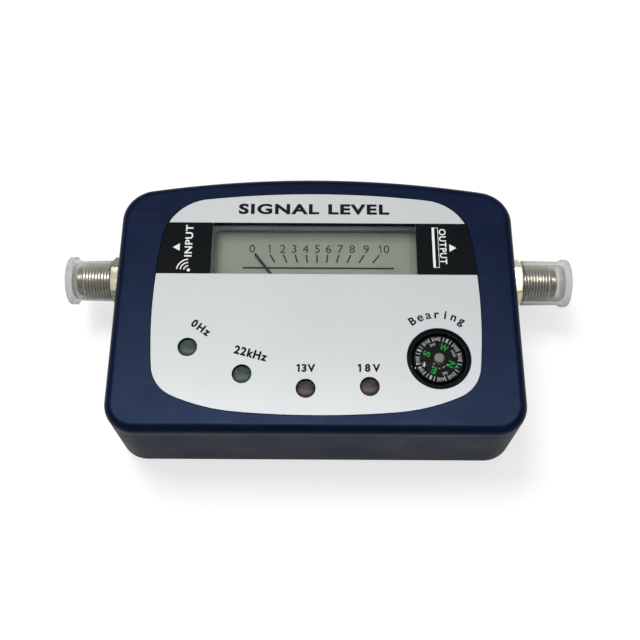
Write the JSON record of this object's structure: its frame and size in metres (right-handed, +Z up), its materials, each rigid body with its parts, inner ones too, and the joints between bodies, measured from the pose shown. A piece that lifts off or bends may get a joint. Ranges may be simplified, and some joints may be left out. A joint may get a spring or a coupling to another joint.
{
  "type": "satellite signal meter",
  "caption": "Hand-held satellite signal meter with a moving-coil dial, compass, indicator lamps, a level wheel and capped coaxial connectors at both sides.",
  "frame": {"origin": "centre of the whole object's box, on the surface that the back cover stands on", "axes": "+X along the line through both connectors, +Y towards the bowed far edge with the level wheel, +Z up through the printed face"},
  "size_m": [0.133, 0.0708, 0.0273],
  "materials": {
    "blue_plastic": "satin moulded ABS, dark blue",
    "silver_print": "satin silver print with black fields and lettering",
    "clear_plastic": "clear polished plastic",
    "grey_plastic": "satin moulding",
    "scale_print": "matt cream scale with dark grey marks",
    "black_plastic": "satin black moulding",
    "black_paint": "matt black paint",
    "nickel": "bright nickel plate",
    "steel": "zinc plated",
    "magnet_steel": "ground dark steel",
    "copper": "enamelled copper winding",
    "brass": "drawn brass",
    "board_green": "green lacquered board",
    "insulator_white": "natural moulding",
    "milky_plastic": "translucent soft moulding",
    "tan_jewel": "polished tan button",
    "green_lamp": "green tinted lens, unlit",
    "red_lamp": "red tinted lens, unlit"
  },
  "bodies": {
    "housing": {"top_housing": "blue_plastic", "back_cover": "blue_plastic", "cover_screw_near_left": "steel", "cover_screw_near_right": "steel", "cover_screw_far_left": "steel", "cover_screw_far_right": "steel", "face_overlay": "silver_print", "meter_case": "grey_plastic", "meter_cover": "clear_plastic", "scale_plate": "scale_print", "meter_terminal_left": "brass", "meter_terminal_right": "brass", "yoke_ring": "steel", "core_holder": "brass", "core_magnet": "magnet_steel", "upper_bridge": "brass", "upper_jewel_screw": "brass", "lower_jewel": "brass", "circuit_board": "board_green", "board_screw_left": "steel", "board_screw_right": "steel", "board_screw_near": "steel", "lamp_tone_off": "green_lamp", "lamp_tone_on": "green_lamp", "lamp_low_volt": "red_lamp", "lamp_high_volt": "red_lamp", "amplifier_chip": "black_plastic", "smoothing_capacitor": "black_plastic", "bypass_choke": "magnet_steel", "level_pot": "black_plastic", "compass_cup": "black_plastic", "compass_dome": "clear_plastic", "compass_pin": "steel", "connector_body_left": "nickel", "connector_insulator_left": "insulator_white", "centre_contact_left": "brass", "ground_lead_left": "steel", "connector_washer_left": "steel", "connector_nut_left": "nickel", "connector_body_right": "nickel", "connector_insulator_right": "insulator_white", "centre_contact_right": "brass", "ground_lead_right": "steel", "connector_washer_right": "steel", "connector_nut_right": "nickel"},
    "needle": {"moving_coil": "copper", "meter_needle": "black_paint", "lower_pivot": "steel", "balance_weight": "brass", "upper_hairspring": "brass", "lower_hairspring": "brass"},
    "compass_card": {"compass_card": "black_plastic", "compass_magnet": "magnet_steel", "compass_cap": "tan_jewel"},
    "level_wheel": {"level_wheel": "black_plastic"},
    "dust_cap_left": {"dust_cap_left": "milky_plastic"},
    "dust_cap_right": {"dust_cap_right": "milky_plastic"}
  },
  "joints": [
    {"name": "needle_swing", "type": "hinge", "parent": "housing", "child": "needle", "pos_m": [-0.00047, -0.00731, 0.014], "axis": [0, 0, -1], "range_deg": [0, 74.5]},
    {"name": "compass_turn", "type": "hinge", "parent": "housing", "child": "compass_card", "pos_m": [0.02942, -0.01603, 0.025], "axis": [0, 0, 1], "continuous": true},
    {"name": "level_turn", "type": "hinge", "parent": "housing", "child": "level_wheel", "pos_m": [-0.02453, 0.0272, 0.0109], "axis": [0, 0, 1], "range_deg": [-135, 135]},
    {"name": "dust_cap_left_pull", "type": "slide", "parent": "housing", "child": "dust_cap_left", "axis": [-1, 0, 0], "range_m": [0, 0.012]},
    {"name": "dust_cap_right_pull", "type": "slide", "parent": "housing", "child": "dust_cap_right", "axis": [1, 0, 0], "range_m": [0, 0.012]}
  ]
}
